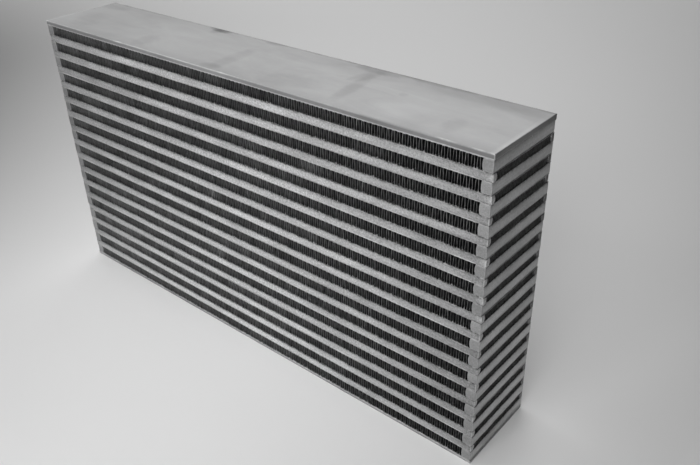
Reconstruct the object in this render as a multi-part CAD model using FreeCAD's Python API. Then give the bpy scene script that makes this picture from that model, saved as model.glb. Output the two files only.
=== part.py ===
import FreeCAD, Part
import os
import math

# Core of a bar-and-plate hydraulic oil cooler, brazed aluminium.
# Frame: X along the length (the way the oil flows), Y along the depth (the way the air flows, front at -Y),
# Z up through the stack. Origin at the middle of the underside.
# Layers from the bottom: side plate, outer sheet, then air layers and oil channels in turn, with a parting sheet
# between each two, then outer sheet and side plate. The outermost layers are both air layers.

# ---- driving dimensions, mm ----
length = 560.0            # X
depth = 90.0              # Y
n_air = 17                # air layers, open at the front and rear
n_oil = n_air - 1         # oil channels, open at the left and right ends
air_h = 10.1              # height of an air layer
oil_h = 6.7               # height of an oil channel
sheet_t = 0.4             # parting sheet
low_plate_t = 3.0         # side plate at the bottom
top_plate_t = 4.5         # side plate at the top, the heavier of the two

air_bar_w = 9.5           # X width of the end bars that close an air layer
air_bar_nose = 0.6        # how far the middle of their inner side stands proud, part of the width
oil_bar_w = 5.0           # Y width of the long bars that close an oil channel
oil_bar_nose = 0.8

fin_t = 0.2               # air fin strip thickness
fin_wave = 4.95           # one full fold of the air fin, two walls
fin_crest = 2.0           # flat width of a fold crest, along the outside
fin_waves = 109           # folds between the end bars
fin_recess = 0.3          # fin edge behind the front and rear faces

turb_t = 0.25             # turbulator strip thickness
turb_wave = 4.0           # one full fold of the turbulator
turb_crest = 1.4
turb_waves = 19
turb_recess = 0.8         # turbulator edge behind the left and right ends

height = low_plate_t + n_air * air_h + n_oil * oil_h + 2 * n_air * sheet_t + top_plate_t
pitch = air_h + oil_h + 2 * sheet_t

os.makedirs("parts", exist_ok=True)
V = FreeCAD.Vector


def air_z(i):
    """Underside of air layer i, counted from 0 at the bottom."""
    return low_plate_t + sheet_t + i * pitch


def oil_z(i):
    """Underside of oil channel i, counted from 0 at the bottom."""
    return low_plate_t + sheet_t + air_h + sheet_t + i * pitch


def slab(t, z):
    """A sheet or plate of the whole outline."""
    return Part.makeBox(length, depth, t, V(-length / 2, -depth / 2, z))


def prism(points, direction):
    """A closed outline pushed along a direction."""
    return Part.Face(Part.makePolygon(points + points[:1])).extrude(direction)


def air_bar(side, z):
    """End bar of an air layer. side is -1 for left and +1 for right. Its inner side comes to a blunt nose."""
    outer = side * length / 2
    shoulder = side * (length / 2 - air_bar_w + air_bar_nose)
    nose = side * (length / 2 - air_bar_w)
    flat = air_h * 0.15
    y = -depth / 2
    pts = [
        V(outer, y, z),
        V(shoulder, y, z),
        V(nose, y, z + air_h / 2 - flat),
        V(nose, y, z + air_h / 2 + flat),
        V(shoulder, y, z + air_h),
        V(outer, y, z + air_h),
    ]
    return prism(pts, V(0, depth, 0))


def oil_bar(side, z):
    """Long bar of an oil channel. side is -1 for front and +1 for rear."""
    outer = side * depth / 2
    shoulder = side * (depth / 2 - oil_bar_w + oil_bar_nose)
    nose = side * (depth / 2 - oil_bar_w)
    flat = oil_h * 0.15
    x = -length / 2
    pts = [
        V(x, outer, z),
        V(x, shoulder, z),
        V(x, nose, z + oil_h / 2 - flat),
        V(x, nose, z + oil_h / 2 + flat),
        V(x, shoulder, z + oil_h),
        V(x, outer, z + oil_h),
    ]
    return prism(pts, V(length, 0, 0))


def folded(waves, wave, crest, t, h):
    """Closed outline of a folded strip seen on edge, as (along, up) pairs: along is centred, up runs from 0 to h.
    The folds have flat crests that lie on the sheets above and below, and slightly leaning walls."""
    span = waves * wave
    line = []
    # middle line of the strip, which starts and ends half way along a lower crest
    line.append((-span / 2, 0))
    for k in range(waves):
        x0 = -span / 2 + k * wave
        line.append((x0 + crest / 2, 0))
        line.append((x0 + wave / 2 - crest / 2, 1))
        line.append((x0 + wave / 2 + crest / 2, 1))
        line.append((x0 + wave - crest / 2, 0))
    line.append((span / 2, 0))
    mid = [(x, t / 2 + u * (h - t)) for x, u in line]

    def side(sign):
        """The middle line moved half a thickness to one side, corners mitred."""
        out = []
        last = len(mid) - 1
        for j, (x, u) in enumerate(mid):
            a = mid[max(j - 1, 0)]
            b = mid[min(j + 1, last)]
            d1 = (x - a[0], u - a[1]) if j > 0 else (b[0] - x, b[1] - u)
            d2 = (b[0] - x, b[1] - u) if j < last else d1
            l1, l2 = math.hypot(*d1), math.hypot(*d2)
            n1 = (-d1[1] / l1, d1[0] / l1)
            n2 = (-d2[1] / l2, d2[0] / l2)
            k = 1 + n1[0] * n2[0] + n1[1] * n2[1]
            out.append(
                (x + sign * t / 2 * (n1[0] + n2[0]) / k, u + sign * t / 2 * (n1[1] + n2[1]) / k)
            )
        return out

    return side(1) + side(-1)[::-1]


def save(shapes, name):
    """One node: a single solid, or a group of separate ones."""
    shape = shapes[0] if len(shapes) == 1 else Part.makeCompound(shapes)
    shape.exportStep("parts/%s.step" % name)


# side plates and outer sheets
save([slab(low_plate_t, 0)], "bottom_side_plate")
save([slab(top_plate_t, height - top_plate_t)], "top_side_plate")
save([slab(sheet_t, low_plate_t)], "bottom_outer_sheet")
save([slab(sheet_t, height - top_plate_t - sheet_t)], "top_outer_sheet")

# the two parting sheets of each oil channel
for i in range(n_oil):
    z = oil_z(i)
    save([slab(sheet_t, z - sheet_t), slab(sheet_t, z + oil_h)], "parting_sheets_%02d" % (i + 1))

# bars
save([air_bar(-1, air_z(i)) for i in range(n_air)], "left_air_bars")
save([air_bar(1, air_z(i)) for i in range(n_air)], "right_air_bars")
save([oil_bar(-1, oil_z(i)) for i in range(n_oil)], "front_oil_bars")
save([oil_bar(1, oil_z(i)) for i in range(n_oil)], "rear_oil_bars")

# air fins: folds follow one another along X, walls run front to back
outline = folded(fin_waves, fin_wave, fin_crest, fin_t, air_h)
y_fin = -depth / 2 + fin_recess
fin = prism([V(x, y_fin, u) for x, u in outline], V(0, depth - 2 * fin_recess, 0))
for i in range(n_air):
    one = fin.copy()
    one.translate(V(0, 0, air_z(i)))
    save([one], "air_fin_%02d" % (i + 1))

# oil turbulators: folds follow one another along Y, walls run from end to end
outline = folded(turb_waves, turb_wave, turb_crest, turb_t, oil_h)
x_turb = -length / 2 + turb_recess
turbulator = prism([V(x_turb, y, u) for y, u in outline], V(length - 2 * turb_recess, 0, 0))
for i in range(n_oil):
    one = turbulator.copy()
    one.translate(V(0, 0, oil_z(i)))
    save([one], "oil_turbulator_%02d" % (i + 1))
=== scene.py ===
import math

import bpy
import numpy as np
from mathutils import Matrix, Vector


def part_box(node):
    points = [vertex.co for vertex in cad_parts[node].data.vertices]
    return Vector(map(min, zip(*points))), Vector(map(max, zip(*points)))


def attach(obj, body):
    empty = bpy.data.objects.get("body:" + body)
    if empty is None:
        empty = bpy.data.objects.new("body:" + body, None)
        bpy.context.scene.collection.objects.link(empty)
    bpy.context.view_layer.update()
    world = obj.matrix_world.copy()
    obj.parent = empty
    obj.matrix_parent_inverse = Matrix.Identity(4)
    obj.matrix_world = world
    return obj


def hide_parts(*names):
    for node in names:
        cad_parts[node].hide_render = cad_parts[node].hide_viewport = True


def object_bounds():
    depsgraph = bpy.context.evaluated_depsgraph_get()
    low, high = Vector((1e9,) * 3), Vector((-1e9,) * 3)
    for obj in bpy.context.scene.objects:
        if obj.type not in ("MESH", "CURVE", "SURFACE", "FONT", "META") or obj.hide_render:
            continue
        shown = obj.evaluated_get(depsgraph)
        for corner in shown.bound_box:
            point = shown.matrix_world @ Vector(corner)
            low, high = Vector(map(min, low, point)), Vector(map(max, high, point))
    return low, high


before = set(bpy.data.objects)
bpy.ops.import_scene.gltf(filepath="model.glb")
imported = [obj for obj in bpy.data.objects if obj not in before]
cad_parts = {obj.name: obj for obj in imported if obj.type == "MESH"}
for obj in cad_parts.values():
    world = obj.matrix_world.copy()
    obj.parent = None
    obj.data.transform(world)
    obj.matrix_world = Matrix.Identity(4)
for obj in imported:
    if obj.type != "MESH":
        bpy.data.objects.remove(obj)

MM = 0.001
cad_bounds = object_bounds()


def node_box(name):
    """A CAD node's lowest and highest corners in millimetres."""
    lo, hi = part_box(name)
    return np.array(lo) / MM, np.array(hi) / MM


def rng(seed):
    return np.random.default_rng(7100 + seed)


def smooth_noise(r, n, width, amount):
    """n values of noise that changes over about width steps, with amount as its spread."""
    pad = int(3 * width) + 2
    k = np.exp(-0.5 * (np.arange(-pad, pad + 1) / max(width, 0.3)) ** 2)
    v = np.convolve(r.normal(size=n + 2 * pad), k / math.sqrt((k * k).sum()), "same")
    return amount * v[pad:pad + n]


# ------------------------------------------------------------------ materials

DULL = 0.74     # how far brazing has dulled the whole core
LOW_CHANNEL = min(node_box(n)[0][2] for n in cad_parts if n.startswith("oil_turbulator_"))
CHANNEL = float(np.ptp([p[2] for p in node_box("oil_turbulator_01")]))
PITCH = float(node_box("oil_turbulator_02")[0][2] - node_box("oil_turbulator_01")[0][2])

def new_material(name):
    m = bpy.data.materials.new(name)
    m.use_nodes = True
    m.node_tree.nodes.clear()
    return m, m.node_tree


class Graph:
    """Short names for the shader nodes used here."""

    def __init__(self, tree):
        self.t = tree

    def node(self, kind, **values):
        n = self.t.nodes.new(kind)
        for k, v in values.items():
            setattr(n, k, v)
        return n

    def put(self, socket, value):
        if isinstance(value, bpy.types.NodeSocket):
            self.t.links.new(value, socket)
        else:
            socket.default_value = value

    def math(self, op, a, b=None, clamp=False):
        n = self.node("ShaderNodeMath", operation=op, use_clamp=clamp)
        self.put(n.inputs[0], a)
        if b is not None:
            self.put(n.inputs[1], b)
        return n.outputs[0]

    def coords(self):
        return self.node("ShaderNodeTexCoord").outputs["Object"]

    def stretched(self, vector, scale, turn=(0, 0, 0)):
        n = self.node("ShaderNodeMapping")
        self.put(n.inputs["Vector"], vector)
        n.inputs["Rotation"].default_value = turn
        n.inputs["Scale"].default_value = scale
        return n.outputs[0]

    def noise(self, vector, scale, detail=4.0, rough=0.55, distortion=0.0):
        n = self.node("ShaderNodeTexNoise")
        self.put(n.inputs["Vector"], vector)
        n.inputs["Scale"].default_value = scale
        n.inputs["Detail"].default_value = detail
        n.inputs["Roughness"].default_value = rough
        n.inputs["Distortion"].default_value = distortion
        return n.outputs["Fac"]

    def ramp(self, value, low, high, out_low=0.0, out_high=1.0, smooth=True):
        n = self.node("ShaderNodeMapRange", clamp=True)
        n.interpolation_type = "SMOOTHSTEP" if smooth else "LINEAR"
        self.put(n.inputs["Value"], value)
        n.inputs["From Min"].default_value = low
        n.inputs["From Max"].default_value = high
        n.inputs["To Min"].default_value = out_low
        n.inputs["To Max"].default_value = out_high
        return n.outputs[0]

    def mix(self, fac, a, b):
        n = self.node("ShaderNodeMix", data_type="FLOAT")
        self.put(n.inputs[0], fac)
        self.put(n.inputs[2], a)
        self.put(n.inputs[3], b)
        return n.outputs[0]

    def attribute(self, name):
        return self.node("ShaderNodeAttribute", attribute_name=name).outputs["Fac"]

    def grey(self, value, tint=(1.0, 1.003, 1.008)):
        n = self.node("ShaderNodeCombineColor")
        for i, k in enumerate(tint):
            self.put(n.inputs[i], self.math("MULTIPLY", value, k))
        return n.outputs[0]

    def bump(self, height, distance, strength, before=None):
        n = self.node("ShaderNodeBump")
        n.inputs["Strength"].default_value = strength
        n.inputs["Distance"].default_value = distance
        self.put(n.inputs["Height"], height)
        if before is not None:
            self.put(n.inputs["Normal"], before)
        return n.outputs[0]

    def finish(self, colour, rough, metal, normal):
        p = self.node("ShaderNodeBsdfPrincipled")
        self.put(p.inputs["Base Color"], colour)
        self.put(p.inputs["Roughness"], rough)
        self.put(p.inputs["Metallic"], metal)
        self.put(p.inputs["Normal"], normal)
        out = self.node("ShaderNodeOutputMaterial")
        self.t.links.new(p.outputs[0], out.inputs[0])
        return p


def mill_material(name, along, base, spread, rough, metal, cloud_scale=22.0, streak=1.0, worn=0.86, gritty=8.5, ragged=False):
    """Drawn or rolled aluminium after brazing: fine streaks along one axis, clouds of dulled oxide, specks of
    flux and filler, edges rubbed brighter. tone and wear are values held by the mesh. ragged adds dark notches
    along the upper edge of every long bar, painted shade between the feet of the fins above it, or along the upper
    edge of every end bar but the top one, on its outer face."""
    m, tree = new_material(name)
    g = Graph(tree)
    co = g.coords()
    fine = [900.0, 900.0, 900.0]
    fine[along] = 28.0
    streaks = g.noise(g.stretched(co, fine), 1.0, 3.0, 0.6)
    clouds = g.noise(co, cloud_scale, 5.0, 0.6, 0.4)
    blotch = g.noise(co, 95.0, 4.0, 0.65)
    specks = g.ramp(g.noise(co, 640.0, 2.0, 0.5), 0.66, 0.74)
    grain = g.noise(co, 560.0, 3.0, 0.75)
    tone = g.attribute("tone")
    wear = g.math("MULTIPLY", g.attribute("wear"), g.ramp(g.noise(co, 180.0, 3.0), 0.36, 0.6))
    v = g.math("ADD", base, g.math("MULTIPLY", g.math("SUBTRACT", streaks, 0.5), 1.5 * spread * streak))
    v = g.math("ADD", v, g.math("MULTIPLY", g.math("SUBTRACT", clouds, 0.5), 1.5 * spread))
    v = g.math("ADD", v, g.math("MULTIPLY", g.math("SUBTRACT", grain, 0.5), gritty * spread))
    v = g.math("ADD", v, g.math("MULTIPLY", g.math("SUBTRACT", blotch, 0.5), 0.5 * spread))
    v = g.math("SUBTRACT", v, g.math("MULTIPLY", specks, 0.4 * spread))
    v = g.math("MULTIPLY", v, tone)
    if ragged:
        sep = g.node("ShaderNodeSeparateXYZ")
        g.put(sep.inputs[0], co)
        up = g.math("MULTIPLY", sep.outputs[2], 1.0 / MM)
        up = g.math("FLOORED_MODULO", g.math("SUBTRACT", up, LOW_CHANNEL), PITCH)
        if ragged == "end":
            band = g.math("MULTIPLY", g.ramp(up, PITCH - 2.8, PITCH - 0.6), g.ramp(sep.outputs[2], 0.2840, 0.2845, 1.0, 0.0))
            band = g.math("MULTIPLY", band, g.ramp(g.math("ABSOLUTE", sep.outputs[1]), 0.0430, 0.0442, 1.0, 0.0))
            teeth = g.ramp(g.noise(g.stretched(co, (40.0, 330.0, 200.0)), 1.0, 2.0, 0.6), 0.44, 0.58)
            depth = 0.62
        else:
            # on the long bars the notches are painted shade between the feet of the fins above
            band = g.math("MULTIPLY", g.ramp(up, CHANNEL - 1.3, CHANNEL - 0.1), g.ramp(up, CHANNEL + 0.7, CHANNEL + 0.9, 1.0, 0.0))
            teeth = g.ramp(g.noise(g.stretched(co, (310.0, 40.0, 230.0)), 1.0, 2.0, 0.6), 0.43, 0.56)
            depth = 0.78
        v = g.math("MULTIPLY", v, g.math("SUBTRACT", 1.0, g.math("MULTIPLY", g.math("MULTIPLY", band, teeth), depth)))
    v = g.math("MULTIPLY", g.mix(wear, v, worn), DULL)
    v = g.math("MINIMUM", g.math("MAXIMUM", v, 0.01), 0.90)
    r = g.math("ADD", rough, g.math("MULTIPLY", g.math("SUBTRACT", clouds, 0.5), 0.22))
    r = g.math("ADD", r, g.math("MULTIPLY", g.math("SUBTRACT", streaks, 0.5), 0.12))
    r = g.math("SUBTRACT", r, g.math("MULTIPLY", wear, 0.12))
    r = g.math("MAXIMUM", r, 0.12)
    normal = g.bump(streaks, 0.00003 * streak, 0.6)
    normal = g.bump(blotch, 0.00008, 0.3, normal)
    normal = g.bump(specks, 0.00003, 0.4, normal)
    normal = g.bump(grain, 0.00002, 0.5, normal)
    g.finish(g.grey(v), r, metal, normal)
    return m


def plate_material(name, top):
    """Rolled side plate, dulled and clouded in the brazing furnace, with a few stains and fine scratches."""
    m, tree = new_material(name)
    g = Graph(tree)
    co = g.coords()
    sep = g.node("ShaderNodeSeparateXYZ")
    g.put(sep.inputs[0], co)
    x, y = sep.outputs[0], sep.outputs[1]
    clouds = g.noise(co, 9.0, 6.0, 0.55, 0.6)
    drift = g.noise(g.stretched(co, (11.0, 34.0, 20.0), (0, 0, 0.55)), 1.0, 4.0, 0.6, 1.2)
    blotch = g.noise(co, 60.0, 5.0, 0.62, 0.3)
    rolled = g.noise(g.stretched(co, (14.0, 700.0, 500.0)), 1.0, 3.0, 0.6)
    scratch = g.ramp(g.noise(g.stretched(co, (60.0, 1500.0, 900.0), (0, 0, 0.35)), 1.0, 2.0, 0.5), 0.70, 0.76)
    specks = g.ramp(g.noise(co, 520.0, 2.0, 0.5), 0.68, 0.75)

    def spot(cx, cy, rx, ry, turn=0.0, wobble=0.35):
        """A soft stain, in metres, with a ragged outline."""
        c, s = math.cos(turn), math.sin(turn)
        dx, dy = g.math("SUBTRACT", x, cx), g.math("SUBTRACT", y, cy)
        u = g.math("ADD", g.math("MULTIPLY", dx, c / rx), g.math("MULTIPLY", dy, s / rx))
        v = g.math("ADD", g.math("MULTIPLY", dx, -s / ry), g.math("MULTIPLY", dy, c / ry))
        d = g.math("ADD", g.math("MULTIPLY", u, u), g.math("MULTIPLY", v, v))
        d = g.math("ADD", d, g.math("MULTIPLY", g.math("SUBTRACT", blotch, 0.5), wobble * 6.0))
        return g.ramp(d, 0.0, 2.0, 1.0, 0.0)

    v = g.math("ADD", 0.425, g.math("MULTIPLY", g.math("SUBTRACT", clouds, 0.5), 0.11))
    v = g.math("ADD", v, g.math("MULTIPLY", g.math("SUBTRACT", drift, 0.5), 0.14))
    v = g.math("ADD", v, g.math("MULTIPLY", g.math("SUBTRACT", blotch, 0.5), 0.05))
    v = g.math("ADD", v, g.math("MULTIPLY", g.math("SUBTRACT", rolled, 0.5), 0.05))
    v = g.math("SUBTRACT", v, g.math("MULTIPLY", specks, 0.03))
    v = g.math("ADD", v, g.math("MULTIPLY", scratch, 0.03))
    stains = [
        (-0.0945, 0.0425, 0.0150, 0.0055, -0.12, 0.30),
        (-0.0950, 0.0370, 0.0060, 0.0060, 0.0, 0.10),
        (-0.0160, 0.0425, 0.0120, 0.0040, 0.0, 0.10),
        (0.1150, 0.0400, 0.0240, 0.0060, 0.0, 0.12),
        (0.1120, 0.0230, 0.0070, 0.0180, -0.25, 0.07),
        (0.1700, 0.0430, 0.0300, 0.0040, 0.0, 0.10),
        (0.1200, -0.0050, 0.0060, 0.0300, 0.15, 0.07),
        (-0.0180, -0.0120, 0.0080, 0.0280, 0.1, 0.06),
        (-0.1300, -0.0250, 0.0110, 0.0150, 0.3, 0.06),
        (-0.0180, -0.0380, 0.0120, 0.0060, 0.0, 0.09),
        (0.0650, -0.0250, 0.0260, 0.0140, 0.2, 0.05),
        (0.1640, 0.0080, 0.0040, 0.0040, 0.0, 0.05),
        (0.2300, -0.0200, 0.0080, 0.0120, 0.0, 0.05),
        (0.2200, 0.0350, 0.0500, 0.0080, 0.0, 0.05),
        (-0.2600, 0.0330, 0.0200, 0.0080, 0.0, 0.07),
        (-0.2450, -0.0120, 0.0160, 0.0220, 0.7, 0.05),
    ]
    if not top:
        stains = [(-sx, -sy, rx * 1.3, ry * 1.2, t, a) for sx, sy, rx, ry, t, a in stains[1::2]]
    dark = None
    for s in stains:
        one = g.math("MULTIPLY", spot(*s[:5]), s[5])
        dark = one if dark is None else g.math("ADD", dark, one)
    v = g.math("MULTIPLY", v, g.math("SUBTRACT", 1.0, g.math("MULTIPLY", dark, 1.6)))
    if top:
        # darker at the left end, along the rear right, along the front edge and along the very rear edge; lighter in
        # the middle
        v = g.math("MULTIPLY", v, g.ramp(x, -0.24, -0.10, 0.88, 1.09))
        rear = g.math("MULTIPLY", g.ramp(y, 0.006, 0.042), g.ramp(x, -0.03, 0.09, 0.35, 1.0))
        v = g.math("MULTIPLY", v, g.math("SUBTRACT", 1.0, g.math("MULTIPLY", rear, 0.20)))
        v = g.math("MULTIPLY", v, g.ramp(y, -0.043, -0.028, 0.90, 1.0))
        rim = g.math("MULTIPLY", g.ramp(y, 0.0405, 0.0440), g.ramp(g.noise(co, 55.0, 3.0), 0.40, 0.60, 0.2, 1.0))
        v = g.math("MULTIPLY", v, g.math("SUBTRACT", 1.0, g.math("MULTIPLY", rim, 0.30)))
    v = g.math("MULTIPLY", v, g.attribute("tone"))
    wear = g.math("MULTIPLY", g.attribute("wear"), g.ramp(g.noise(co, 120.0, 3.0), 0.3, 0.62, 0.35, 1.0))
    v = g.math("MAXIMUM", g.math("MULTIPLY", g.mix(wear, v, 0.76), DULL), 0.01)
    r = g.math("ADD", 0.50, g.math("MULTIPLY", g.math("SUBTRACT", clouds, 0.5), 0.20))
    r = g.math("ADD", r, g.math("MULTIPLY", g.math("SUBTRACT", rolled, 0.5), 0.10))
    r = g.math("ADD", r, g.math("MULTIPLY", dark, 0.25))
    r = g.math("SUBTRACT", r, g.math("MULTIPLY", wear, 0.16))
    normal = g.bump(rolled, 0.00002, 0.6)
    normal = g.bump(blotch, 0.00018, 0.35, normal)
    normal = g.bump(clouds, 0.0016, 0.25, normal)
    normal = g.bump(scratch, 0.00003, 0.6, normal)
    g.finish(g.grey(v), g.math("MAXIMUM", r, 0.15), 0.9, normal)
    return m


plate_top_mat = plate_material("side_plate_upper_finish", True)
plate_low_mat = plate_material("side_plate_lower_finish", False)
sheet_mat = mill_material("parting_sheet_finish", 0, 0.44, 0.09, 0.42, 0.95, worn=1.0, ragged=True)
oil_bar_mat = mill_material("oil_bar_finish", 0, 0.44, 0.10, 0.47, 0.9, worn=1.08, ragged=True)
air_bar_mat = mill_material("air_bar_finish", 1, 0.425, 0.11, 0.47, 0.9, worn=0.95, gritty=3.0, ragged="end")
seam_mat = mill_material("braze_filler_finish", 0, 0.42, 0.14, 0.34, 0.95, cloud_scale=90.0, streak=0.4, worn=0.9, gritty=3.0)
fin_mat = mill_material("air_fin_finish", 1, 0.31, 0.10, 0.42, 1.0, cloud_scale=60.0, streak=0.6, worn=0.6, gritty=3.0)
turb_mat = mill_material("turbulator_finish", 0, 0.28, 0.10, 0.42, 1.0, cloud_scale=60.0, streak=0.6, worn=0.5, gritty=3.0)


# ------------------------------------------------------------------ mesh building

class Build:
    """Collects closed bodies, in millimetres, into one mesh with tone and wear values."""

    def __init__(self):
        self.v, self.f, self.tone, self.wear, self.n = [], [], [], [], 0

    def add(self, verts, faces, tone, wear):
        verts = np.asarray(verts, float)
        # turned the right way out by the sign of the body's volume
        vol = 0.0
        for f in faces:
            if isinstance(f, np.ndarray) and f.ndim == 2:
                a, b, c, d = (verts[f[:, i]] for i in range(4))
                vol += (a * np.cross(b, c)).sum() + (a * np.cross(c, d)).sum()
            else:
                p = verts[list(f)]
                vol += sum((p[0] * np.cross(p[i], p[i + 1])).sum() for i in range(1, len(p) - 1))
        for f in faces:
            if isinstance(f, np.ndarray) and f.ndim == 2:
                g = f[:, ::-1] if vol < 0 else f
                self.f.extend((g + self.n).tolist())
            else:
                g = list(f)[::-1] if vol < 0 else list(f)
                self.f.append([i + self.n for i in g])
        self.v.append(verts)
        n = len(verts)
        self.tone.append(np.full(n, tone) if np.isscalar(tone) else np.asarray(tone, float))
        self.wear.append(np.full(n, wear) if np.isscalar(wear) else np.asarray(wear, float))
        self.n += n

    def done(self, name, material, nodes, sharp=35.0):
        v = np.concatenate(self.v) * MM
        mesh = bpy.data.meshes.new(name)
        mesh.from_pydata(v.tolist(), [], self.f)
        for key, values in (("tone", self.tone), ("wear", self.wear)):
            a = mesh.attributes.new(key, "FLOAT", "POINT")
            a.data.foreach_set("value", np.concatenate(values).astype(np.float32))
        mesh.update()
        mesh.shade_smooth()
        mesh.set_sharp_from_angle(angle=math.radians(sharp))
        mesh.materials.append(material)
        ob = bpy.data.objects.new(name, mesh)
        bpy.context.scene.collection.objects.link(ob)
        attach(ob, "root")
        if nodes:
            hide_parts(*nodes)
        return ob


class Outline:
    """A convex outline with rounded corners, which can be drawn in without crossing itself. corner says how far each
    point belongs to a corner. Each long side has two more points near its ends, so that what a corner carries stays
    at the corner. edges says how sharp an edge each corner is, 1 if not given."""

    def __init__(self, poly, radii, steps=2, margin=0.6, edges=None):
        poly = np.array(poly, float)
        n = len(poly)
        edges = [1.0] * n if edges is None else edges
        area = 0.5 * sum(poly[i - 1][0] * poly[i][1] - poly[i][0] * poly[i - 1][1] for i in range(n))
        if area < 0:
            poly, radii, edges = poly[::-1], radii[::-1], edges[::-1]
        self.corners, self.steps, self.fractions = [], steps, []
        for i in range(n):
            a, p, b = poly[i - 1], poly[i], poly[(i + 1) % n]
            u = (p - a) / np.linalg.norm(p - a)
            w = (b - p) / np.linalg.norm(b - p)
            nu, nw = np.array([u[1], -u[0]]), np.array([w[1], -w[0]])
            a0, turn = math.atan2(nu[1], nu[0]), math.acos(max(-1.0, min(1.0, float(nu @ nw))))
            self.corners.append((p, -(nu + nw) / (1 + nu @ nw), radii[i], a0, turn))
        arcs = [self.arc(c, 0.0) for c in self.corners]
        self.corner = []
        for i in range(n):
            long = float(np.linalg.norm(arcs[(i + 1) % n][0] - arcs[i][-1]))
            f = margin / long if long > 2.6 * margin else 0.0
            self.fractions.append(f)
            e = edges[i]
            self.corner += [0.45 * e] + [e] * (steps - 1) + [0.45 * e] + ([0.0, 0.0] if f else [])
        self.corner = np.array(self.corner)

    def arc(self, corner, inset):
        p, inward, r, a0, turn = corner
        rr = max(r - inset, 0.03)
        c = p + inward * (inset + rr)
        ang = a0 + turn * np.arange(self.steps + 1) / self.steps
        return c + rr * np.stack([np.cos(ang), np.sin(ang)], 1)

    def at(self, inset):
        arcs = [self.arc(c, inset) for c in self.corners]
        out = []
        for i, f in enumerate(self.fractions):
            out += list(arcs[i])
            if f:
                p, q = arcs[i][-1], arcs[(i + 1) % len(arcs)][0]
                out += [p + (q - p) * f, q - (q - p) * f]
        return np.array(out)


def sweep(build, section, place, stations, tone, inset, shift=None, edge_wear=1.0, ring=0.9):
    """A closed body: section pushed along stations, with its ends drawn in by inset so that they have a soft edge.
    place(t, a, b) gives 3-D points; shift(t, pts) may move the section's points at station t."""
    corner = section.corner
    first, last = stations[0], stations[-1]
    rows_at = []
    if ring:
        rows_at.append((first, inset + ring, 0.0, 0.0))
    rows_at += [
        (first, inset, 0.5, 1.0), (first + 0.3 * inset, 0.3 * inset, 1.0, 1.0),
        (first + inset, 0.0, 0.5, 1.0), (first + inset + 0.6, 0.0, 0.0, 1.0),
    ]
    rows_at += [(t, 0.0, 0.0, 1.0) for t in stations[1:-1]]
    rows_at += [
        (last - inset - 0.6, 0.0, 0.0, 1.0), (last - inset, 0.0, 0.5, 1.0),
        (last - 0.3 * inset, 0.3 * inset, 1.0, 1.0), (last, inset, 0.5, 1.0),
    ]
    if ring:
        rows_at.append((last, inset + ring, 0.0, 0.0))
    rows, wear = [], []
    for t, i, end, keep in rows_at:
        q = section.at(i)
        if shift is not None:
            q = shift(t, q)
        rows.append(place(t, q[:, 0], q[:, 1]))
        wear.append(np.maximum(corner * keep, end))
    rows = np.array(rows)
    s, p = rows.shape[:2]
    i = np.arange(p)
    j = (i + 1) % p
    quads = [np.stack([k * p + i, k * p + j, (k + 1) * p + j, (k + 1) * p + i], 1) for k in range(s - 1)]
    caps = [list(range(p))[::-1], list(range((s - 1) * p, s * p))]
    rows = rows.reshape(-1, 3)
    if callable(tone):
        tone = tone(rows)
    if callable(edge_wear):
        edge_wear = edge_wear(rows)
    build.add(rows, quads + caps, tone, np.clip(np.concatenate(wear) * edge_wear, 0.0, 1.0))


def strip(build, place, mid, depth_pos, t, low, high, tone, wear_edge=0.5):
    """A closed folded strip. mid[k] is its middle line at depth station k, as (along, up) pairs; depth_pos[k] is
    the depth of each of its points. The strip is t thick, and its crests lie flat between low and high."""
    rows_a, rows_b = [], []
    for line, dep in zip(mid, depth_pos):
        d = np.gradient(line, axis=0)
        d /= np.maximum(np.linalg.norm(d, axis=1, keepdims=True), 1e-9)
        nrm = np.stack([-d[:, 1], d[:, 0]], 1)
        for rows, sign in ((rows_a, 1), (rows_b, -1)):
            q = line + sign * nrm * t / 2
            q[:, 1] = np.clip(q[:, 1], low, high)
            rows.append(place(q[:, 0], dep, q[:, 1]))
    a, b = np.array(rows_a), np.array(rows_b)
    s, n = a.shape[:2]
    verts = np.concatenate([a.reshape(-1, 3), b.reshape(-1, 3)])
    off = s * n
    k = np.arange(n - 1)
    faces = []
    for r in range(s - 1):
        faces.append(np.stack([r * n + k, r * n + k + 1, (r + 1) * n + k + 1, (r + 1) * n + k], 1))
        faces.append(off + np.stack([r * n + k, (r + 1) * n + k, (r + 1) * n + k + 1, r * n + k + 1], 1))
    for r, flip in ((0, False), (s - 1, True)):
        q = np.stack([r * n + k, off + r * n + k, off + r * n + k + 1, r * n + k + 1], 1)
        faces.append(q[:, ::-1] if flip else q)
    r = np.arange(s - 1)
    for c, flip in ((0, True), (n - 1, False)):
        q = np.stack([r * n + c, off + r * n + c, off + (r + 1) * n + c, (r + 1) * n + c], 1)
        faces.append(q[:, ::-1] if flip else q)
    wear = np.zeros((2, s, n))
    wear[:, 0, :] = wear[:, -1, :] = wear_edge
    build.add(verts, faces, tone(verts, s, n) if callable(tone) else tone, wear.ravel())


def fold_line(walls, crest_r, low, high, lean, start_low=True):
    """Middle line of a folded strip whose walls stand at the given places along it, with round shoulders."""
    pts = []
    n = len(walls)
    ang = np.radians([0.0, 45.0, 90.0])
    for m, x in enumerate(walls):
        rising = (m % 2 == 0) == start_low
        x0, x1 = x - lean, x + lean
        lo = [(x0 - crest_r * (1 - math.sin(a)), low + crest_r * (1 - math.cos(a))) for a in ang]
        hi = [(x1 + crest_r * (1 - math.cos(a)), high - crest_r * (1 - math.sin(a))) for a in ang]
        if rising:
            pts += lo + [((x0 + x1) / 2, (low + high) / 2)] + hi
        else:
            hi2 = [(x0 - crest_r * (1 - math.sin(a)), high - crest_r * (1 - math.cos(a))) for a in ang]
            lo2 = [(x1 + crest_r * (1 - math.cos(a)), low + crest_r * (1 - math.sin(a))) for a in ang]
            pts += hi2 + [((x0 + x1) / 2, (low + high) / 2)] + lo2
    return np.array(pts)


# ------------------------------------------------------------------ side plates

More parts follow.
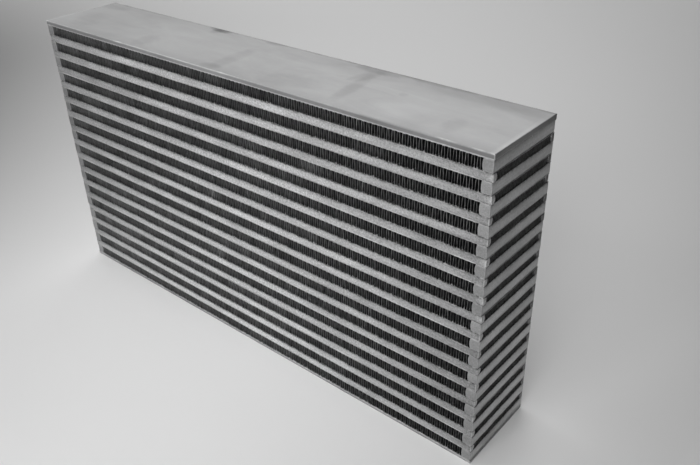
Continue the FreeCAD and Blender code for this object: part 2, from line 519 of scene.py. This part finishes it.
def along_x(t, a, b):
    return np.stack([np.full(len(a), t), a, b], 1)


def along_y(t, a, b):
    return np.stack([a, np.full(len(a), t), b], 1)


def make_plate(name, piece, seed, top):
    lo, hi = node_box(name)
    r = rng(seed)
    xs = np.linspace(lo[0] + 0.05, hi[0] - 0.05, 116)
    edge = 0.55
    # the outer edges are well rounded from shearing, the ones against the stack only broken
    rad = {True: (0.12, 0.12, edge, edge), False: (edge, edge, 0.12, 0.12)}[top]
    sec = Outline(
        [(lo[1], lo[2]), (hi[1], lo[2]), (hi[1], hi[2]), (lo[1], hi[2])], list(rad), 3, margin=min(0.9, 0.3 * (hi[2] - lo[2]))
    )
    fa = smooth_noise(r, len(xs) + 6, 4.0, 0.05)
    ba = smooth_noise(r, len(xs) + 6, 4.0, 0.05)
    ya = (lo[1] + hi[1]) / 2

    def shift(t, q):
        u = (t - xs[0]) / (xs[-1] - xs[0]) * (len(xs) + 5)
        k = np.interp(u, np.arange(len(xs) + 6), fa)
        j = np.interp(u, np.arange(len(xs) + 6), ba)
        q = q.copy()
        q[:, 0] += np.where(q[:, 0] < ya, abs(k) + 0.02, -abs(j) - 0.02)
        return q

    inner, outer = (lo[2], hi[2]) if top else (hi[2], lo[2])
    dull = 1.0 + smooth_noise(r, 60, 1.5, 0.07)
    rub = np.clip(0.30 + smooth_noise(r, 60, 1.2, 0.30), 0.0, 1.0)

    def bump_at(v, x, y, rx, ry):
        return np.exp(-0.5 * (((v[:, 0] - x) / rx) ** 2 + ((v[:, 1] - y) / ry) ** 2))

    def tone(v):
        """The sheared edge faces are duller than the rolled faces, but for filler that has crept onto them."""
        side = (np.abs(np.abs(v[:, 1]) - hi[1]) < 0.34) | (np.abs(np.abs(v[:, 0]) - hi[0]) < 0.34)
        along = np.interp(v[:, 0], np.linspace(lo[0], hi[0], 60), dull)
        near = np.abs(v[:, 2] - inner) < (0.5 if top else min(0.9, 0.3 * (hi[2] - lo[2])) + 0.2)
        far = np.abs(v[:, 2] - outer) < 0.75
        rear = v[:, 1] > hi[1] - 0.9
        ends = np.abs(v[:, 0]) > hi[0] - 0.34
        face = np.where(near & ~ends, 1.55 if top else 1.32, np.where(far, 0.85, np.where(ends, 0.80, 0.64))) * along
        if top:  # painted light along the front edge: lighter left of the middle, darker to the right
            clear = np.interp(v[:, 0], (-270, -215, -150, -100, -40, 10, 60, 150, 210, 270), (1.75, 1.6, 1.45, 2.2, 1.8, 1.75, 1.35, 1.25, 1.15, 1.06))
            face = face * np.where((v[:, 1] < lo[1] + 0.34) & ~ends, clear, 1.0)
        rim = (np.abs(v[:, 0]) > hi[0] - 1.7) & (v[:, 1] < 14.0)
        return np.where(side, face, np.where(rear, 0.80 * along, np.where(rim, 1.25, 1.0)))

    def wear(v):
        """The front and rear edges are dull but for a few rubbed places; the right end's edge is bright in its
        front half."""
        along = np.interp(v[:, 0], np.linspace(lo[0], hi[0], 60), rub)
        ends = np.abs(v[:, 0]) > hi[0] - 1.2
        k = np.where(v[:, 1] > 0, 0.10 * along, 0.25 * along)
        k = np.where(ends, np.where(v[:, 1] < 12.0, 0.85, 0.35), k)
        for x in (240.0, 2.0, 268.0, -150.0):
            k = np.maximum(k, bump_at(v, x, lo[1], 4.5, 6.0))
        return k

    b = Build()
    sweep(b, sec, along_x, list(xs), tone, 0.28, shift, wear, ring=0.5)
    return b.done(piece, plate_top_mat if top else plate_low_mat, [name], 50.0)


make_plate("top_side_plate", "upper_side_plate", 1, True)
make_plate("bottom_side_plate", "lower_side_plate", 2, False)


# ------------------------------------------------------------------ parting sheets

def make_sheets(name, piece, seed, spans):
    """Sheets at the given (low, high) heights, each cut a little unevenly."""
    lo, hi = node_box(name)
    b = Build()
    for i, (z0, z1) in enumerate(spans):
        r = rng(seed * 10 + i)
        x0, x1 = lo[0] + abs(r.normal(0, 0.12)) + 0.03, hi[0] - abs(r.normal(0, 0.12)) - 0.03
        xs = np.linspace(x0, x1, 46)
        front = lo[1] + 0.10 + np.abs(smooth_noise(r, len(xs), 6.0, 0.14))
        back = hi[1] - 0.10 - np.abs(smooth_noise(r, len(xs), 6.0, 0.14))
        sec = Outline([(lo[1], z0), (hi[1], z0), (hi[1], z1), (lo[1], z1)], [0.12] * 4, 1)

        def shift(t, q):
            q = q.copy()
            f, k = np.interp(t, xs, front), np.interp(t, xs, back)
            q[:, 0] = np.where(q[:, 0] < 0, q[:, 0] - lo[1] + f, q[:, 0] - hi[1] + k)
            return q

        # the upper sheet of a pair is painted darker, as shade under the fins above it; the lower one lighter
        own = (1.0 + r.normal(0, 0.03)) * (0.80 if i else 1.20) * (1.4 if len(spans) == 1 else 1.0)

        def tone(v):
            """The upper sheet of a pair is painted darker, as shade under the fins above it, and the edge is duller
            where it runs between the ends of two bars. Of the cut ends, the one over an oil channel is as light as the
            bar it closes, and the one under it is dark."""
            x = np.abs(v[:, 0])
            cut = 0.5 if len(spans) == 1 else (1.8 if i else 0.33)
            return own * np.where(x > hi[0] - 0.9, cut, np.where(x > hi[0] - 11.0, 0.62, 1.0))

        sweep(b, sec, along_x, list(xs), tone, 0.1, shift, 0.12 if i else 0.4, ring=0.0)
    return b.done(piece, sheet_mat, [name])


sheet_t = float(np.ptp([p[2] for p in node_box("top_outer_sheet")]))
for name in sorted(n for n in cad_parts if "sheet" in n):
    lo, hi = node_box(name)
    if "parting" in name:
        spans = [(lo[2], lo[2] + sheet_t), (hi[2] - sheet_t, hi[2])]
        seed = 20 + int(name[-2:])
    else:
        spans = [(lo[2], hi[2])]
        seed = 40 if "top" in name else 41
    make_sheets(name, name.replace("parting_sheets", "parting_sheet_pair").replace("outer_sheet", "cover_sheet"), seed, spans)


# ------------------------------------------------------------------ bars

layers = sorted(node_box(n)[0][2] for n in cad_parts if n.startswith("air_fin_"))
air_h = node_box("air_fin_01")[1][2] - node_box("air_fin_01")[0][2]
channels = sorted(node_box(n)[0][2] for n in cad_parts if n.startswith("oil_turbulator_"))
oil_h = node_box("oil_turbulator_01")[1][2] - node_box("oil_turbulator_01")[0][2]


def make_bars(node, piece, material, heights, h, axis, nose, seed):
    """One bar at each height. axis 0 is a long oil bar along X, axis 1 an end bar along Y."""
    lo, hi = node_box(node)
    other = 1 - axis
    left = (lo[other] + hi[other]) < 0
    outer = lo[other] if left else hi[other]
    inner = hi[other] if left else lo[other]
    inward = 1.0 if left else -1.0
    b = Build()
    for i, z in enumerate(heights):
        r = rng(seed * 100 + i)
        back = min(abs(r.normal(0, 0.22)), 0.6) + 0.03
        o = outer + inward * back
        n0 = inner + inward * r.normal(0, 0.15)
        sh = inner - inward * (nose + r.normal(0, 0.08))
        flat = h * 0.15
        zz0, zz1 = z + 0.01, z + h - 0.01
        # the outer face is crowned, a little fuller below or above its middle
        crown, ridge = inward * (0.13 + abs(r.normal(0, 0.03))), z + h * (0.40 + r.normal(0, 0.05))
        poly = [
            (o + crown, zz0), (sh, zz0), (n0, z + h / 2 - flat), (n0, z + h / 2 + flat), (sh, zz1), (o + crown, zz1),
            (o, ridge + 0.13 * h), (o, ridge - 0.13 * h),
        ]
        rad = [0.34, 0.25, 0.5, 0.5, 0.25, 0.34, 2.5, 2.5]
        sec = Outline(poly, rad, 2, edges=[0.9, 1, 0, 0, 1, 0.55, 0.03, 0.12])
        t0, t1 = lo[axis] + min(abs(r.normal(0, 0.3)), 0.8) + 0.03, hi[axis] - min(abs(r.normal(0, 0.3)), 0.8) - 0.03
        count = 80 if axis == 0 else 14
        ts = np.linspace(t0, t1, count)
        wob = smooth_noise(r, count, 13.0 if axis == 0 else 8.0, 0.06 if axis == 0 else 0.04)
        slope = r.normal(0, 0.10)
        rows = 120 if axis == 0 else 20
        base = 1.0 + r.normal(0, 0.03)
        slow = smooth_noise(r, rows, 6.0 if axis == 0 else 3.0, 0.03)
        upper, lower = smooth_noise(r, rows, 1.2, 0.07), smooth_noise(r, rows, 1.5, 0.04)
        grid = np.linspace(lo[axis], hi[axis], rows)

        def tone(v):
            """Painted shade towards the upper edge of the long bars and painted light that changes along them; the end
            bars' outer faces are painted lighter and grow darker towards the upper edge; with changes along the bar
            that are not the same above and below.
            """
            t = v[:, axis]
            u = np.clip((v[:, 2] - z) / h, 0.0, 1.0)
            k = base + np.interp(t, grid, slow) + u * np.interp(t, grid, upper) + (1 - u) * np.interp(t, grid, lower)
            if axis == 0:
                # long bars: painted shade towards the upper edge, and painted light that changes along the bar
                f = np.clip((u - 0.66) / 0.3, 0.0, 1.0)
                clear = np.interp(t, (-280, -250, -150, -50, 50, 150, 250, 280), (1.16, 1.4, 1.9, 1.96, 1.92, 1.57, 1.14, 0.86))
                return k * np.where(np.abs(t) > 279.0, 1.4 if left else 0.5, clear) * (1.0 - 0.26 * f * f * (3 - 2 * f))
            # end bars: outer faces painted lighter, and darker towards the upper edge
            fade = (1.0, 0.64, 0.58) if i == len(heights) - 1 else (1.0, 0.78, 0.5)
            return k * np.where(np.minimum(t - t0, t1 - t) < 0.4, 0.94, 1.54 * np.interp(u, (0.55, 0.94, 1.0), fade))

        def wear(v):
            """The edges are rubbed along the bars, but not at the ends of the rear ones."""
            if axis:
                return 0.35
            return 0.6 if left else np.where(np.abs(v[:, 0]) > 276.0, 0.08, 0.6)

        def shift(t, q):
            u = (t - t0) / (t1 - t0)
            q = q.copy()
            q[:, 0] += inward * (abs(np.interp(t, ts, wob)) + max(0.0, slope * (u - 0.5) + 0.05))
            return q

        sweep(b, sec, along_x if axis == 0 else along_y, list(ts), tone, 0.22, shift, wear)
    return b.done(piece, material, [node])


make_bars("front_oil_bars", "front_long_bars", oil_bar_mat, channels, oil_h, 0, 0.8, 1)
make_bars("rear_oil_bars", "rear_long_bars", oil_bar_mat, channels, oil_h, 0, 0.8, 2)
make_bars("left_air_bars", "left_end_bars", air_bar_mat, layers, air_h, 1, 0.6, 3)
make_bars("right_air_bars", "right_end_bars", air_bar_mat, layers, air_h, 1, 0.6, 4)


# ------------------------------------------------------------------ brazed seams

class Ring:
    """A unit circle of n points, as a section for sweep."""

    def __init__(self, n):
        ang = 2 * math.pi * np.arange(n) / n
        self.points = np.stack([np.cos(ang), np.sin(ang)], 1)
        self.corner = np.full(n, 0.4)

    def at(self, inset):
        return self.points * (1.0 - inset)


def make_seams(piece, axis, sign, heights, seed):
    """The filler that has run into the grooves between the bars and the sheets on one face: a thin uneven bead in
    each groove. axis is the way the grooves run, sign the side of the face."""
    other = 1 - axis
    out_lo, out_hi = np.array(cad_bounds[0]) / MM, np.array(cad_bounds[1]) / MM
    face = out_hi[other] if sign > 0 else out_lo[other]
    b = Build()
    for i, z in enumerate(heights):
        r = rng(seed * 1000 + i)
        t0, t1 = out_lo[axis] + 0.9 + abs(r.normal(0, 0.4)), out_hi[axis] - 0.9 - abs(r.normal(0, 0.4))
        count = 90 if axis == 0 else 18
        ts = np.linspace(t0, t1, count)
        size = np.clip(0.75 + smooth_noise(r, count, 1.5, 0.22), 0.25, 1.25)
        sink = 0.20 + np.abs(smooth_noise(r, count, 3.0, 0.07))
        sec = Ring(6)

        def shift(t, q):
            k, d = np.interp(t, ts, size), np.interp(t, ts, sink)
            return np.stack([face - sign * (d + 0.10) + q[:, 0] * 0.20 * k, z + q[:, 1] * 0.26 * k], 1)

        # the bead in a bar's upper groove is darker than the one in its lower groove; on the long bars that is painted
        # shade under the fins above
        level = (0.5 if i % 2 else 1.5) if axis else (0.9 if i % 2 else 1.7)
        bright = level * (1.0 + r.normal(0, 0.05) + smooth_noise(r, count, 1.2, 0.20))

        def tone(v):
            k = np.clip(np.interp(v[:, axis], ts, bright), 0.3, 2.4)
            return k if axis else k * np.where(np.abs(v[:, 0]) > out_hi[0] - 11.0, 0.45, 1.0)

        sweep(b, sec, along_x if axis == 0 else along_y, list(ts), tone, 0.4, shift, 0.8, ring=0.0)
        # a few loose beads of filler left beside the groove; their brightness is a painted highlight
        for _ in range(r.poisson(14.0 if axis == 0 else 3.0)):
            rad = r.uniform(0.20, 0.42)
            p = np.zeros(3)
            p[axis], p[other], p[2] = r.uniform(t0, t1), face - sign * (max(0.6 * rad + 0.2, rad + 0.04) + 0.08 * r.random()), z + r.normal(0, 0.4)
            pts = p + rad * np.array([(1, 0, 0), (-1, 0, 0), (0, 1, 0), (0, -1, 0), (0, 0, 1), (0, 0, -1)])
            faces = [[0, 2, 4], [2, 1, 4], [1, 3, 4], [3, 0, 4], [2, 0, 5], [1, 2, 5], [3, 1, 5], [0, 3, 5]]
            b.add(pts, faces, r.uniform(1.4, 3.0), 0.3)
    ob = b.done(piece, seam_mat, [], 80.0)
    return ob


long_seams = [z for c in channels for z in (c, c + oil_h)]
end_seams = [z for c in layers for z in (c, c + air_h)]
make_seams("braze_seams_front", 0, -1, long_seams, 31)
make_seams("braze_seams_rear", 0, 1, long_seams, 32)
make_seams("braze_seams_left", 1, -1, end_seams, 33)
make_seams("braze_seams_right", 1, 1, end_seams, 34)


# ------------------------------------------------------------------ air fins

def make_fin(node, piece, seed, last):
    lo, hi = node_box(node)
    r = rng(500 + seed)
    wave, t = 4.95, 0.2
    n = int(round((hi[0] - lo[0]) / wave * 2))
    rest = lo[0] + wave / 4 + wave / 2 * np.arange(n)
    steps = np.array([0.0, 0.4, 0.9, 1.8, 4.0, 13.0])
    ys = np.concatenate([lo[1] + steps, [0.0], hi[1] - steps[::-1]])
    drift = smooth_noise(r, n, 6.0, 0.10) + r.normal(0, 0.05, n)
    lean = 0.25 + r.normal(0, 0.05, n)
    bend = [smooth_noise(r, n, 3.0, 0.13) for _ in ys]
    for k in (1, 2, 3, 4):
        f = steps[k] / 6.0
        bend[k] = bend[0] * (1 - f) + bend[5] * f
        bend[-1 - k] = bend[-1] * (1 - f) + bend[-6] * f
    jag = [r.normal(0, 0.10, n) if k in (0, len(ys) - 1) else np.zeros(n) for k in range(len(ys))]
    low, high = lo[2] + t / 2, hi[2] - t / 2
    knocks = [np.zeros(n), np.zeros(n)]
    for side in (0, 1):
        # places where the edges of a few neighbouring folds have been knocked over
        for _ in range(r.integers(2, 6)):
            c, wide, push = r.integers(4, n - 4), r.uniform(0.8, 3.5), r.normal(0, 0.5)
            knocks[side] += push * np.exp(-0.5 * ((np.arange(n) - c) / wide) ** 2)
    mids, deps = [], []
    for k, y in enumerate(ys):
        x = rest + drift + bend[k]
        x = x + knocks[0] * math.exp(-((y - lo[1]) / 1.8) ** 2) + knocks[1] * math.exp(-((hi[1] - y) / 1.8) ** 2)
        # walls keep apart from each other and inside the strip
        for _ in range(2):
            gap = np.diff(x)
            x[1:] += np.clip(1.95 - gap, 0, None) / 2
            x[:-1] -= np.clip(1.95 - gap, 0, None) / 2
        x = np.clip(x, lo[0] + 1.0, hi[0] - 1.0)
        line = fold_line(x, 0.72, low, high, 0.0)
        per = 7
        l = np.repeat(lean, per) * np.where(np.repeat(np.arange(n), per) % 2 == 0, 1.0, -1.0)
        u = (line[:, 1] - (low + high) / 2) / (high - low) * 2
        line[:, 0] += l * u
        mids.append(line)
        deps.append(y + np.repeat(np.abs(jag[k]) * (1 if k == 0 else -1), per))
    own = 1.0 + r.normal(0, 0.04)
    walls = np.repeat(np.clip(np.exp(r.normal(0, 1, n) * np.linspace(0.09, 0.26, n)), 0.5, 1.9), 7)

    def tone(v, s, m):
        """Painted light at the open edges and painted shade further into the channels, both changing along the core."""
        d = np.minimum(v[:, 1] - lo[1], hi[1] - v[:, 1])
        edge = np.exp(-d / 0.9)
        foot = np.clip((v[:, 2] - lo[2]) / 1.6, 0.4, 1.0)
        if last:
            foot = np.where(v[:, 2] > hi[2] - 0.5, 2.6, foot)
        # painted light that changes along the core, and painted shade deep in the channels, darkest towards the right
        # end
        places = (-280, -220, -80, 40, 160, 236, 280)
        clear = np.interp(v[:, 0], places, (2.0, 2.0, 1.9, 1.72, 1.07, 0.66, 0.6))
        painted_shade_inside = np.interp(v[:, 0], places, (0.46, 0.46, 0.40, 0.30, 0.14, 0.14, 0.14))
        return own * foot * clear * (painted_shade_inside + np.interp(v[:, 0], places, (1.3, 1.3, 1.4, 1.6, 1.9, 1.9, 1.9)) * edge * np.tile(walls, 2 * s))

    b = Build()
    strip(b, lambda a, d, u: np.stack([a, d, u], 1), mids, deps, t, lo[2], hi[2], tone, 0.6)
    # small fillets of filler at the open edges, where the folds meet the sheet below
    for k, y, inward in ((0, lo[1], 1.0), (-1, hi[1], -1.0)):
        feet = mids[k].reshape(n, 7, 2)
        size = np.clip(np.exp(r.normal(-0.55, 0.55, n)), 0.12, 1.5)
        for m in range(n):
            x, h, w = feet[m, :, 0].mean() + r.normal(0, 0.25), size[m], 0.35 + 0.45 * size[m]
            x = min(max(x, lo[0] + w), hi[0] - w)
            y0, y1, z = y + inward * (0.02 + 0.15 * r.random()), y + inward * (0.8 + 0.5 * h), lo[2]
            pts = [
                (x - w, y0, z), (x + w, y0, z), (x + 0.2 * w, y0 + inward * 0.12, z + h), (x - 0.2 * w, y0 + inward * 0.12, z + h),
                (x - 0.5 * w, y1, z), (x + 0.5 * w, y1, z), (x + 0.1 * w, y1 - inward * 0.2, z + 0.4 * h), (x - 0.1 * w, y1 - inward * 0.2, z + 0.4 * h),
            ]
            faces = [[0, 1, 2, 3], [5, 4, 7, 6], [1, 5, 6, 2], [4, 0, 3, 7], [3, 2, 6, 7], [4, 5, 1, 0]]
            # the fillets are painted light at the mouth and painted shade further in, and brighter in the middle of the
            # core's length
            c = float(np.interp(x, (-280, -150, 50, 250, 280), (1.3, 2.0, 2.1, 1.4, 1.3))) * r.uniform(0.6, 1.2)
            b.add(pts, faces, [c, c, 0.8 * c, 0.8 * c, 0.3, 0.3, 0.3, 0.3], 0.0)
    return b.done(piece, fin_mat, [node], 60.0)


for i in range(len(layers)):
    make_fin("air_fin_%02d" % (i + 1), "folded_air_fin_%02d" % (i + 1), i, i == len(layers) - 1)


# ------------------------------------------------------------------ oil turbulators

def make_turbulator(node, piece, seed):
    """A folded strip whose walls are cut and set over in short steps near its open ends, where it can be seen."""
    lo, hi = node_box(node)
    r = rng(800 + seed)
    wave, t, step = 4.0, 0.25, 5.0
    n = int(round((hi[1] - lo[1]) / wave * 2))
    rest = lo[1] + wave / 4 + wave / 2 * np.arange(n)
    low, high = lo[2] + t / 2, hi[2] - t / 2
    own = 1.0 + r.normal(0, 0.03)

    def tone(v, s, m):
        # painted light at the open cut ends and painted shade further into the channel
        d = np.minimum(v[:, 0] - lo[0], hi[0] - v[:, 0])
        return own * (0.30 + 0.7 * np.exp(-d / 0.4))

    b = Build()
    rows = []
    x = lo[0]
    for k in range(7):
        rows.append((x + k * step + 0.02, x + (k + 1) * step - 0.02, k))
    rows.append((x + 7 * step + 0.02, hi[0] - 7 * step - 0.02, 7))
    for k in range(7):
        rows.append((hi[0] - (7 - k) * step + 0.02, hi[0] - (6 - k) * step - 0.02, k))
    for x0, x1, k in rows:
        over = 0.42 if k % 2 else -0.42
        w = rest + over + smooth_noise(r, n, 3.0, 0.05)
        xs = [x0, x1] if x1 - x0 < 50 else list(np.linspace(x0, x1, 5))
        if x0 < lo[0] + 1.0:
            xs = [x0, x0 + 0.5, x1]
        if x1 > hi[0] - 1.0:
            xs = [x0, x1 - 0.5, x1]
        mids, deps = [], []
        for xx in xs:
            line = fold_line(w, 0.6, low, high, 0.0)
            u = (line[:, 1] - (low + high) / 2) / (high - low) * 2
            l = np.where(np.repeat(np.arange(n), 7) % 2 == 0, 1.0, -1.0) * 0.3
            line[:, 0] += l * u
            line[:, 0] = np.clip(line[:, 0], lo[1] - 0.4, hi[1] + 0.4)
            mids.append(line)
            deps.append(np.full(len(line), xx))
        strip(b, lambda a, d, u: np.stack([d, a, u], 1), mids, deps, t, lo[2], hi[2], tone)
    return b.done(piece, turb_mat, [node], 60.0)


for i in range(len(channels)):
    make_turbulator("oil_turbulator_%02d" % (i + 1), "lanced_turbulator_%02d" % (i + 1), i)


# ------------------------------------------------------------------ floor, light and camera

# painted light and shade on the floor: row i, place j multiplies x to the power i times y to the power j
FLOOR_PAINTED_LIGHT_SHADE = [
    [1.3691, 0.2581, -2.6831, 1.906],
    [-0.0866, -2.839, 2.8295],
    [-3.6806, 3.8856],
    [-0.9931],
]


# patches of painted light on the floor right of the core, and one of painted shade far left: middle, reach along x and
# y, amount
PAINTED_FLOOR_LIGHT_SHADE_PATCHES = [(0.20, 0.28, 0.09, 0.22, 0.13), (0.31, 0.0, 0.05, 0.06, 0.17), (-1.15, 0.35, 0.25, 0.25, -0.05)]


def floor_material():
    m, tree = new_material("studio_floor")
    g = Graph(tree)
    co = g.coords()
    sep = g.node("ShaderNodeSeparateXYZ")
    g.put(sep.inputs[0], co)
    x = g.math("MINIMUM", g.math("MAXIMUM", sep.outputs[0], -1.5), 0.42)
    y = g.math("MINIMUM", g.math("MAXIMUM", sep.outputs[1], -0.30), 1.5)
    x = g.math("TANH", g.math("DIVIDE", x, 1.2))
    y = g.math("TANH", g.math("DIVIDE", y, 1.6))
    # painted light: the floor is palest in front of the core, and painted shade falls away to grey behind it on the
    # left and far right
    v = 0.0
    for i, row in enumerate(FLOOR_PAINTED_LIGHT_SHADE):
        for j, k in enumerate(row):
            term = k
            for _ in range(i):
                term = g.math("MULTIPLY", term, x)
            for _ in range(j):
                term = g.math("MULTIPLY", term, y)
            v = g.math("ADD", v, term)
    for cx, cy, rx, ry, k in PAINTED_FLOOR_LIGHT_SHADE_PATCHES:
        u = g.math("DIVIDE", g.math("SUBTRACT", sep.outputs[0], cx), rx)
        w = g.math("DIVIDE", g.math("SUBTRACT", sep.outputs[1], cy), ry)
        d = g.math("ADD", g.math("MULTIPLY", u, u), g.math("MULTIPLY", w, w))
        v = g.math("ADD", v, g.math("MULTIPLY", g.math("EXPONENT", g.math("MULTIPLY", d, -1.0)), k))
    v = g.math("MINIMUM", g.math("MAXIMUM", v, 0.40), 1.37)
    away = g.node("ShaderNodeVectorMath", operation="LENGTH")
    g.put(away.inputs[0], co)
    v = g.math("MULTIPLY", g.mix(g.ramp(away.outputs["Value"], 1.7, 3.2), v, 0.95), 0.90 / 1.37)
    v = g.math("ADD", v, g.math("MULTIPLY", g.math("SUBTRACT", g.noise(co, 1.2, 3.0), 0.5), 0.02))
    g.finish(g.grey(v, (1, 1, 1)), 0.75, 0.0, g.bump(g.noise(co, 300.0, 2.0), 0.0002, 0.1))
    return m


mesh = bpy.data.meshes.new("studio_floor")
s = 9.0
mesh.from_pydata([(-s, -s, 0), (s, -s, 0), (s, s, 0), (-s, s, 0)], [], [(0, 1, 2, 3)])
mesh.materials.append(floor_material())
floor = bpy.data.objects.new("studio_floor", mesh)
bpy.context.scene.collection.objects.link(floor)


def area_light(name, pos, target, size, power, size_y=None):
    d = bpy.data.lights.new(name, "AREA")
    d.shape = "RECTANGLE"
    d.size, d.size_y = size, size_y or size
    d.energy = power
    o = bpy.data.objects.new(name, d)
    o.location = pos
    o.rotation_euler = (Vector(target) - Vector(pos)).to_track_quat("-Z", "Y").to_euler()
    bpy.context.scene.collection.objects.link(o)
    return o


AIM = (0.0, 0.0, 0.15)
area_light("rear_left_bank", (-0.9, 2.0, 1.8), AIM, 1.6, 14.4)
area_light("front_bank", (0.4, -2.2, 1.4), AIM, 1.6, 43.2)
area_light("front_low", (-0.6, -1.6, 0.7), AIM, 1.2, 4.2)
area_light("front_left", (-1.0, -1.3, 1.3), AIM, 0.9, 1.35)
area_light("front_right_low", (1.6, -1.4, 0.9), AIM, 1.0, 10.8)

# the room itself: a broad pale glow from the left, none from the right
world = bpy.data.worlds.new("soft_room")
bpy.context.scene.world = world
world.use_nodes = True
wg = Graph(world.node_tree)
world.node_tree.nodes.clear()
dot = wg.node("ShaderNodeVectorMath", operation="DOT_PRODUCT")
wg.put(dot.inputs[0], wg.node("ShaderNodeTexCoord").outputs["Generated"])
dot.inputs[1].default_value = (-1.0, 0.0, 0.0)
lobe = wg.math("POWER", wg.math("MAXIMUM", dot.outputs["Value"], 0.0), 2.0)
bg = wg.node("ShaderNodeBackground")
bg.inputs[0].default_value = (1, 1, 1, 1)
# a plain grey wall is what can be seen beyond the floor
seen = wg.node("ShaderNodeLightPath").outputs["Is Camera Ray"]
wg.put(bg.inputs[1], wg.mix(seen, wg.math("MULTIPLY", lobe, 2.34), 0.30))
world.node_tree.links.new(bg.outputs[0], wg.node("ShaderNodeOutputWorld").inputs[0])

cam_data = bpy.data.cameras.new("camera")
cam_data.sensor_width = 36.0
cam_data.lens = 39.2106
cam_data.clip_start = 0.02
cam_data.clip_end = 50.0
cam = bpy.data.objects.new("camera", cam_data)
right = Vector((0.765732, 0.642717, -0.023708))
up = Vector((-0.317804, 0.410163, 0.854845))
back = right.cross(up).normalized()
up = back.cross(right).normalized()
cam.matrix_world = Matrix((
    (right.x, up.x, back.x, 0.509897),
    (right.y, up.y, back.y, -0.463662),
    (right.z, up.z, back.z, 0.524663),
    (0, 0, 0, 1),
))
bpy.context.scene.collection.objects.link(cam)
bpy.context.scene.camera = cam
bpy.context.scene.view_settings.view_transform = "Standard"
